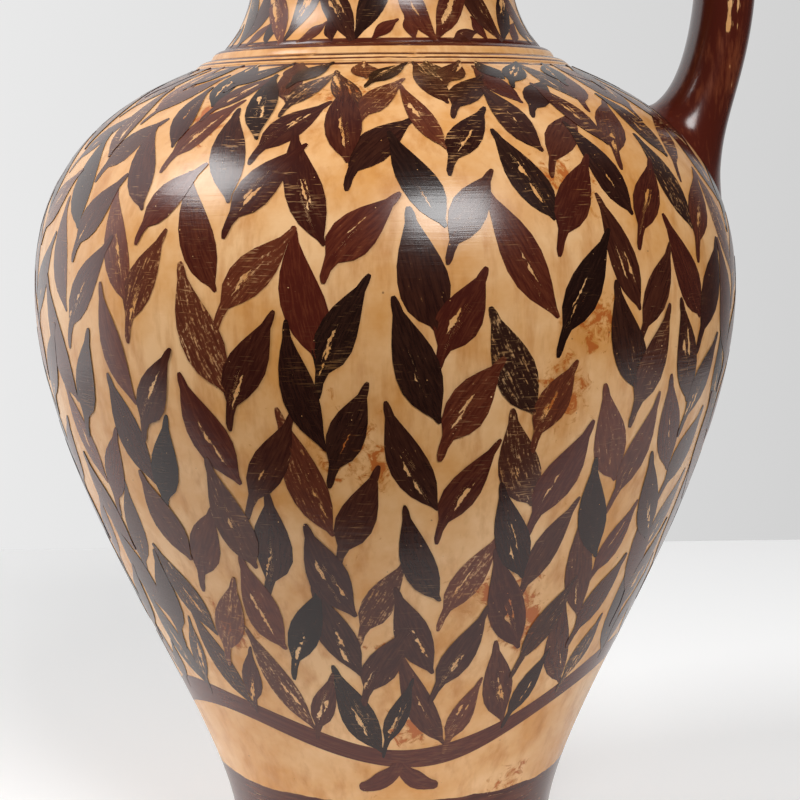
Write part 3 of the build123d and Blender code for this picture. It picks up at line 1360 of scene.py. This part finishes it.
@dataclass
class Neck:
    """The neck with its collar inside the ring and its pinched lip."""

    finishes: Finishes
    wall: NeckWall
    thickness: float = 5.0
    lip_round: float = 2.0
    lip_rows: int = 7
    flank_rows: int = 60
    columns: int = 288
    seat_level: float = top("body")
    collar_edge: float = 1.0
    base_band: Band = Band(-3.0, 1.1, 0.1)
    lip_band: Band = Band(-7.0, 5.0, 0.4)
    leaf_brush: LeafBrush = field(default_factory=lambda: LeafBrush(stem=0.27, lift=0.02))

    def build(self) -> None:
        """Makes the wall: up the outside, over two quarter rounds at the lip, and down the inside.

        Every row is a level with an inset, and its radius is the trefoil's less that inset.
        """
        collar, lip = self.wall.collar_level, self.wall.lip_level
        bend = np.linspace(0, np.pi / 2, self.lip_rows)
        over, crest = self.lip_round * (1 - np.cos(bend)), lip - self.lip_round * (1 - np.sin(bend))
        flank = np.linspace(collar, lip - self.lip_round, self.flank_rows)[:-1]
        outside = np.concatenate([[self.seat_level, collar - self.collar_edge], flank])
        level = np.concatenate([outside, crest, crest[::-1], outside[::-1]])[:, None]
        inset = np.concatenate([0 * outside, over])
        inset = np.concatenate([inset, (self.thickness - inset)[::-1]])[:, None]
        turn = circle(self.columns)
        points = spun(turn, self.wall.radius(turn, np.maximum(level, collar)) - inset, level)
        piece = make_piece("neck_shell", points, grid_faces(len(level), self.columns, True).tolist())
        bands = [self.base_band.above(collar), self.lip_band.above(lip)]
        dress(piece, Slot.PAINTED_CLAY, self.finishes.banded_clay("buff clay, burnished neck", bands))
        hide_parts("neck")

    def paint(self, rng: Rng) -> None:
        """Paints the sprays of leaves."""
        leaves = self.leaf_brush.paint("neck_leaves", self.wall, NeckSprays().lay_out(rng))
        dress(leaves, Slot.SLIP_COAT, self.finishes.leaf_slip)


@dataclass
class NeckRing:
    """The tooled cordon that covers the seam: a bead, a groove and a larger roll."""

    finishes: Finishes
    bore: float = 45.2
    seat_radius: float = reach("neck_ring")
    seat_level: float = top("body")
    crest_level: float = top("neck_ring")
    bead_width: float = 4.3
    bead_height: float = 2.3
    bead_swell: float = 0.5
    bead_rows: int = 12
    roll_swell: float = 0.7
    roll_rows: int = 16
    columns: int = 288
    seat_bands: tuple[Band, ...] = (Band(0.6, 1.05, 0.06), Band(1.6, 2.3, 0.07))
    crest_band: Band = Band(-1.2, 2.0, 0.08)

    def swell(self, start: Array, end: Array, rise: float, count: int) -> Array:
        """Points of a half-sine swell square to the line between two points.

        Args:
            start: First point.
            end: Point after the last one.
            rise: Height of the swell.
            count: Number of points.

        Returns:
            Radius and level of each point.
        """
        share = np.linspace(0, 1, count, endpoint=False)[:, None]
        line = end - start
        square = np.array([line[1], -line[0]]) / np.linalg.norm(line)
        return start + share * line + np.sin(np.pi * share) * rise * square

    def build(self) -> None:
        """Makes the cordon: its section turned about the axis."""
        edge = np.array([self.seat_radius, self.seat_level])
        groove = edge + (-self.bead_width, self.bead_height)
        crest = np.array([self.bore, self.crest_level])
        bead = self.swell(edge, groove, self.bead_swell, self.bead_rows)
        roll = self.swell(groove, crest, self.roll_swell, self.roll_rows)
        section = np.vstack([bead, roll, crest, [self.bore, self.seat_level]])
        piece = revolved("neck_cordon", section, self.columns, True)
        bands = [band.above(self.seat_level) for band in self.seat_bands]
        bands.append(self.crest_band.above(self.crest_level))
        dress(piece, Slot.PAINTED_CLAY, self.finishes.banded_clay("buff clay, tooled cordon", bands))
        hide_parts("neck_ring")


@dataclass
class Foot:
    """The splayed disc that the jug stands on."""

    finishes: Finishes
    radius: float = reach("foot")
    waist_radius: float = 46.5
    height: float = top("foot")
    edge: float = 4.0
    rounding: float = 1.5
    bend_rows: int = 8
    columns: int = 192

    def build(self) -> None:
        """Makes the disc: a rounded lower edge, an upright edge, then a quarter-ellipse hollow."""
        bend = np.linspace(0, np.pi / 2, self.bend_rows)
        draw_in, rise = 1 - np.sin(bend), 1 - np.cos(bend)
        lower = np.stack([self.radius - self.rounding * draw_in, self.rounding * rise], -1)
        hollow = np.stack([self.waist_radius + (self.radius - self.waist_radius) * draw_in,
                           self.edge + (self.height - self.edge) * rise], -1)
        piece = revolved("foot_disc", np.vstack([lower, hollow]), self.columns, False)
        dress(piece, Slot.SLIP_COAT, self.finishes.slip_coat)
        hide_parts("foot")


@dataclass
class Handle:
    """The pulled strap from the shoulder up and over to the lip, smoothed on at both ends."""

    finishes: Finishes
    body: BodyWall
    neck: NeckWall
    inset: float = 2.2
    drop: float = 38.0
    width: float = 24.0
    limb_depth: float = 17.0
    bow_depth: float = 14.5
    root_width: float = 46.0
    root_depth: float = 52.5
    tip_width: float = 34.0
    root_inset: float = 21.0
    root_rise: float = 34.7
    root_lean: float = np.radians(47.0)
    root_pull: float = 17.5
    limb_pull: float = 20.3
    tip_inset: float = 12.0
    tip_drop: float = 27.0
    spread_power: float = 6.6
    slim_share: float = 0.3
    sink: float = 0.6
    fillet: float = 0.8
    fillet_reach: float = 5.0
    path_steps: int = 200
    trial_rows: int = 600
    rows: int = 150
    columns: int = 56

    @cached_property
    def path(self) -> dict[str, Array]:
        """Middle line and section: a Bezier limb from the root, then an arc over to the neck.

        Returns:
            Arrays of the middle's x and z, the section's normal, width and depth along the way.
        """
        share = np.linspace(0, 1, self.path_steps)
        far, rise = self.body.radius - self.inset, self.neck.lip_level - self.drop
        root = np.array([self.body.radius - self.root_inset, self.body.belly_level + self.root_rise])
        pull = self.root_pull * np.array([np.sin(self.root_lean), np.cos(self.root_lean)])
        limb = cubic(root, root + pull, np.array([far, rise - self.limb_pull]), np.array([far, rise]), share)
        across = far - (self.neck.narrow_radius - self.tip_inset)
        up = self.neck.lip_level - self.tip_drop - rise
        bow_radius = (across**2 + up**2) / (2 * across)
        late = share[1:]
        angle = (np.pi - np.arctan2(up, across - bow_radius)) * late
        bow = np.stack([far - bow_radius * (1 - np.cos(angle)), rise + bow_radius * np.sin(angle)], -1)
        line = np.vstack([limb, bow])
        along = np.gradient(line, axis=0)
        along /= np.linalg.norm(along, axis=1, keepdims=True)
        walked = np.concatenate([[0], np.cumsum(np.linalg.norm(np.diff(limb, axis=0), axis=1))])
        early, spread = (1 - walked / walked[-1]) ** self.spread_power, late**self.spread_power
        slim = smooth_step(late / self.slim_share)
        width = self.width + np.concatenate([(self.root_width - self.width) * early,
                                             (self.tip_width - self.width) * spread])
        depth = self.limb_depth + np.concatenate([(self.root_depth - self.limb_depth) * early,
                                                  (self.bow_depth - self.limb_depth) * slim])
        return {"x": line[:, 0], "z": line[:, 1], "nx": along[:, 1], "nz": -along[:, 0],
                "width": width, "depth": depth}

    def clearance(self, points: Array) -> Array:
        """Distance of points outside the body and the neck, measured square to the axis.

        Args:
            points: Three coordinates per point.

        Returns:
            One distance per point, negative inside.
        """
        x, y, level = np.moveaxis(points, -1, 0)
        turn, radius = np.arctan2(x, -y), np.hypot(x, y)
        collar = self.neck.collar_level
        from_body = radius - self.body.radius_at_level(level)
        from_neck = radius - self.neck.radius(turn, np.clip(level, collar, self.neck.lip_level))
        from_body = np.where(level > self.body.seat_level, np.inf, from_body)
        return np.minimum(from_body, np.where(level < collar, np.inf, from_neck))

    def surface(self, way: Array, around: Array, grown: Array | float = 0.0) -> Array:
        """Points of the strap: an ellipse carried square to the middle line, grown all round.

        Args:
            way: Share of the way along the strap.
            around: Angle round the section.
            grown: How far the section is grown.

        Returns:
            Three coordinates per point.
        """
        steps = np.linspace(0, 1, len(self.path["x"]))
        at = {key: np.interp(way, steps, value) for key, value in self.path.items()}
        out = (at["depth"] / 2 + grown) * np.cos(around)
        aside = (at["width"] / 2 + grown) * np.sin(around)
        return np.stack([at["x"] + out * at["nx"], aside, at["z"] + out * at["nz"]], -1)

    def build(self) -> None:
        """Makes the strap, cut where it has sunk into the body and the neck.

        Every line along the strap starts and ends where it crosses the walls, and near them the
        section grows with the square of the nearness, which leaves a hollow fillet.
        """
        around = circle(self.columns)
        trial, around = np.broadcast_arrays(np.linspace(0, 1, self.trial_rows)[:, None], around)
        outside = self.clearance(self.surface(trial, around)) > -self.sink
        middle = self.trial_rows // 2
        first = middle - np.argmin(outside[middle::-1], axis=0)
        last = middle + np.argmin(outside[middle:], axis=0)
        share = np.linspace(0, 1, self.rows)[:, None]
        way = (first + (last - first) * share) / (self.trial_rows - 1)
        around = around[: self.rows]
        near = 1 - np.clip(self.clearance(self.surface(way, around)) / self.fillet_reach, 0, 1)
        piece = make_piece("strap_handle", *capped(self.surface(way, around, self.fillet * near**2)))
        dress(piece, Slot.SLIP_COAT, self.finishes.slip_coat)
        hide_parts("handle")


@dataclass(frozen=True)
class Window:
    """A soft light: its direction from the jug, its width and height in metres and its watts."""

    name: str
    way: Triple
    size: tuple[float, float]
    power: float


def turned(right: Array, up: Array, back: Array, place: Sequence[float]) -> Matrix:
    """Matrix of an object that stands at a place with its three axes in given directions."""
    axes = np.stack([right, up, back, np.array(place)], -1)
    return Matrix(np.vstack([axes, [0, 0, 0, 1]]).tolist())


@dataclass
class Studio:
    """A plain pale floor, two soft windows and the camera at the photograph's view, in metres."""

    floor_half: float = 0.575
    floor_front: float = 0.165
    floor_back: float = 0.432
    floor_colour: str = "#f6f6f6"
    floor_roughness: float = 0.7
    floor_glow: float = 0.165
    wall_light: float = 0.735
    wall_fall: float = 0.35
    side_fall: float = 1.0
    wall_edge: tuple[float, float] = (-0.12, 0.28)
    ceiling_light: float = 0.35
    ceiling_edge: tuple[float, float] = (0.6, 0.9)
    room_light: float = 0.045
    camera_place: Triple = (0.0, -0.523, 0.2148)
    lens: float = 81.0
    sensor: float = 36.0
    pitch: float = np.radians(8.073)
    yaw: float = np.radians(0.417)
    roll: float = np.radians(-0.668)
    window_distance: float = 1.2
    window_target: Triple = (0.0, 0.0, 0.17)
    windows: tuple[Window, ...] = (
        Window("front_window", (0.296, -0.734, 0.611), (0.5, 0.4), 10.3),
        Window("left_window", (-0.682, -0.18, 0.709), (0.48, 0.4), 7.9),
    )

    def build(self) -> None:
        """Makes the floor, the surroundings, the windows and the camera."""
        self.lay_floor()
        self.light_room()
        for window in self.windows:
            self.open_window(window)
        self.set_camera()
        bpy.context.scene.view_settings.view_transform = "Standard"

    def lay_floor(self) -> None:
        """Lays a sheet with matt white table paint under the jug, which gives a soft pale mirror light."""
        left, right, front, back = -self.floor_half, self.floor_half, -self.floor_front, self.floor_back
        mesh = bpy.data.meshes.new("floor")
        edge = [(left, front, 0), (right, front, 0), (right, back, 0), (left, back, 0)]
        mesh.from_pydata(edge, [], [(0, 1, 2, 3)])
        floor = bpy.data.objects.new("floor", mesh)
        bpy.context.scene.collection.objects.link(floor)
        material = bpy.data.materials.new("white table paint, matt")
        material.use_nodes = True
        inputs = material.node_tree.nodes["Principled BSDF"].inputs
        settings = {"Base Color": linear(self.floor_colour), "Roughness": self.floor_roughness,
                    "Emission Color": WHITE, "Emission Strength": self.floor_glow}
        for key, value in settings.items():
            inputs[key].default_value = value
        mesh.materials.append(material)

    def light_room(self) -> None:
        """Lights the surroundings.

        Behind the jug is a pale wall, brighter to the left by a cubic of the way aside, under a
        dimmer ceiling. In front of it the room is dim.
        """
        world = bpy.data.worlds.new("studio")
        world.use_nodes = True
        bpy.context.scene.world = world
        tree = world.node_tree
        tree.nodes.clear()
        way = add(tree, "TexCoord", out="Generated")
        aside, ahead, above = add(tree, "SeparateXYZ", [way], out=["X", "Y", "Z"])
        wall = add(tree, "Math", [aside, -self.wall_fall, self.wall_light], operation="MULTIPLY_ADD")
        cube = add(tree, "Math", [aside, 3.0], operation="POWER")
        wall = add(tree, "Math", [cube, -self.side_fall, wall], operation="MULTIPLY_ADD")
        ends = [*self.ceiling_edge, 1.0, self.ceiling_light]
        ceiling = add(tree, "MapRange", [above, *ends], interpolation_type="SMOOTHSTEP")
        wall = add(tree, "Math", [wall, ceiling], operation="MULTIPLY")
        wall = add(tree, "Math", [wall, self.room_light], operation="MAXIMUM")
        behind = add(tree, "MapRange", [ahead, *self.wall_edge], interpolation_type="SMOOTHSTEP")
        strength = add(tree, "Mix", {0: behind, 2: self.room_light, 3: wall}, data_type="FLOAT")
        light = add(tree, "Background", {"Color": WHITE, "Strength": strength})
        add(tree, "OutputWorld", {"Surface": light}, out=[])

    def open_window(self, window: Window) -> None:
        """Hangs a soft light out of the camera's sight.

        Args:
            window: The light.
        """
        light = bpy.data.lights.new(window.name, "AREA")
        light.shape = "RECTANGLE"
        light.size, light.size_y = window.size
        light.energy = window.power
        lamp = bpy.data.objects.new(window.name, light)
        back = np.array(window.way) / np.linalg.norm(window.way)
        right = np.cross((0, 0, 1), back)
        right /= np.linalg.norm(right)
        place = back * self.window_distance + self.window_target
        lamp.matrix_world = turned(right, np.cross(back, right), back, place)
        lamp.visible_camera = False
        bpy.context.scene.collection.objects.link(lamp)

    def set_camera(self) -> None:
        """Stands the camera where the photograph was taken, turned by its yaw, pitch and roll."""
        level = np.array([np.sin(self.yaw), np.cos(self.yaw), 0])
        ahead = np.cos(self.pitch) * level - (0, 0, np.sin(self.pitch))
        right = np.array([np.cos(self.yaw), -np.sin(self.yaw), 0])
        up = np.cross(right, ahead)
        cos, sin = np.cos(self.roll), np.sin(self.roll)
        data = bpy.data.cameras.new("camera")
        data.lens = self.lens
        data.sensor_width = self.sensor
        camera = bpy.data.objects.new("camera", data)
        axes = (cos * right + sin * up, cos * up - sin * right, -ahead)
        camera.matrix_world = turned(*axes, self.camera_place)
        bpy.context.scene.collection.objects.link(camera)
        bpy.context.scene.camera = camera


def main() -> None:
    """Builds the jug's pieces in order, then the studio."""
    logging.basicConfig(level=logging.INFO, format="%(name)s %(message)s")
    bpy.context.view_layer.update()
    rng = np.random.default_rng(SEED)
    finishes = Finishes()
    Foot(finishes).build()
    body = Body(finishes, body_wall)
    body.build()
    body.paint(rng)
    NeckRing(finishes).build()
    neck = Neck(finishes, neck_wall)
    neck.build()
    neck.paint(rng)
    Handle(finishes, body_wall, neck_wall).build()
    Studio().build()


if __name__ == "__main__":
    main()
